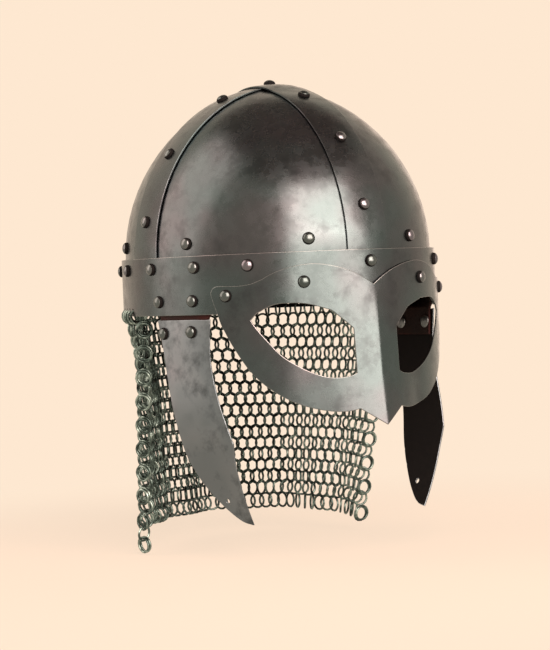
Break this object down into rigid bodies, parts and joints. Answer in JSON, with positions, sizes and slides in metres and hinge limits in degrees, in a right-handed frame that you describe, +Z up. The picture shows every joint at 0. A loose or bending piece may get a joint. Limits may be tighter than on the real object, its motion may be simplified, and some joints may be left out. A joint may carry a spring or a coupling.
{
  "type": "spectacle helmet with hinged cheek plates and mail aventail",
  "caption": "Riveted spangen helmet with a spectacle mask, leather-hung cheek plates and a ring mail aventail behind the neck.",
  "frame": {"origin": "centre of the head opening, in the plane of the brow band's lower rim", "axes": "+Z up to the crown, -Y forward through the nose of the mask, -X to the wearer's right"},
  "size_m": [0.2242, 0.2666, 0.3331],
  "materials": {
    "dark_steel": "oil-darkened sheet steel, mottled green and purple, bright thin edges",
    "rivet_steel": "domed steel rivets, darkened with a soft gloss",
    "mail_steel": "grey-green steel wire rings, satin",
    "hinge_leather": "dark red-brown leather",
    "liner_leather": "dark brown leather"
  },
  "bodies": {
    "root": {"dome_plate_front_right": "dark_steel", "dome_plate_rear_right": "dark_steel", "dome_plate_front_left": "dark_steel", "dome_plate_rear_left": "dark_steel", "lateral_strap": "dark_steel", "front_to_back_strap": "dark_steel", "brow_band": "dark_steel", "spectacle_mask": "dark_steel", "hinge_leather_upper_right": "hinge_leather", "hinge_leather_upper_left": "hinge_leather", "aventail": "mail_steel", "liner": "liner_leather", "crown_pad": "liner_leather", "crown_rivet": "rivet_steel", "band_rivet_front": "rivet_steel", "band_rivet_rear": "rivet_steel", "band_rivet_right_1": "rivet_steel", "band_rivet_right_2": "rivet_steel", "band_rivet_right_3": "rivet_steel", "band_rivet_right_4": "rivet_steel", "band_rivet_right_5": "rivet_steel", "band_rivet_right_6": "rivet_steel", "band_rivet_left_1": "rivet_steel", "band_rivet_left_2": "rivet_steel", "band_rivet_left_3": "rivet_steel", "band_rivet_left_4": "rivet_steel", "band_rivet_left_5": "rivet_steel", "band_rivet_left_6": "rivet_steel", "liner_rivet_front_right_1": "rivet_steel", "liner_rivet_front_right_2": "rivet_steel", "liner_rivet_front_left_1": "rivet_steel", "liner_rivet_front_left_2": "rivet_steel", "strap_rivet_front_1": "rivet_steel", "strap_rivet_front_2": "rivet_steel", "strap_rivet_front_3": "rivet_steel", "strap_rivet_rear_1": "rivet_steel", "strap_rivet_rear_2": "rivet_steel", "strap_rivet_rear_3": "rivet_steel", "strap_rivet_right_1": "rivet_steel", "strap_rivet_right_2": "rivet_steel", "strap_rivet_right_3": "rivet_steel", "strap_rivet_left_1": "rivet_steel", "strap_rivet_left_2": "rivet_steel", "strap_rivet_left_3": "rivet_steel", "mask_rivet_ear_right": "rivet_steel", "mask_rivet_brow_right": "rivet_steel", "mask_rivet_ear_left": "rivet_steel", "mask_rivet_brow_left": "rivet_steel", "hinge_rivet_right_1": "rivet_steel", "hinge_rivet_right_2": "rivet_steel", "hinge_rivet_left_1": "rivet_steel", "hinge_rivet_left_2": "rivet_steel"},
    "cheek_right": {"cheek_plate_right": "dark_steel", "hinge_leather_lower_right": "hinge_leather", "cheek_rivet_right_1": "rivet_steel", "cheek_rivet_right_2": "rivet_steel"},
    "cheek_left": {"cheek_plate_left": "dark_steel", "hinge_leather_lower_left": "hinge_leather", "cheek_rivet_left_1": "rivet_steel", "cheek_rivet_left_2": "rivet_steel"}
  },
  "joints": [
    {"name": "cheek_hinge_right", "type": "hinge", "parent": "root", "child": "cheek_right", "pos_m": [-0.10143, -0.04136, -0.0015], "axis": [-0.2983, 0.9545, 0], "range_deg": [-10, 55]},
    {"name": "cheek_hinge_left", "type": "hinge", "parent": "root", "child": "cheek_left", "pos_m": [0.09096, -0.03952, -0.00162], "axis": [0.1157, -0.9933, 0], "range_deg": [-6.5, 58.5]}
  ]
}
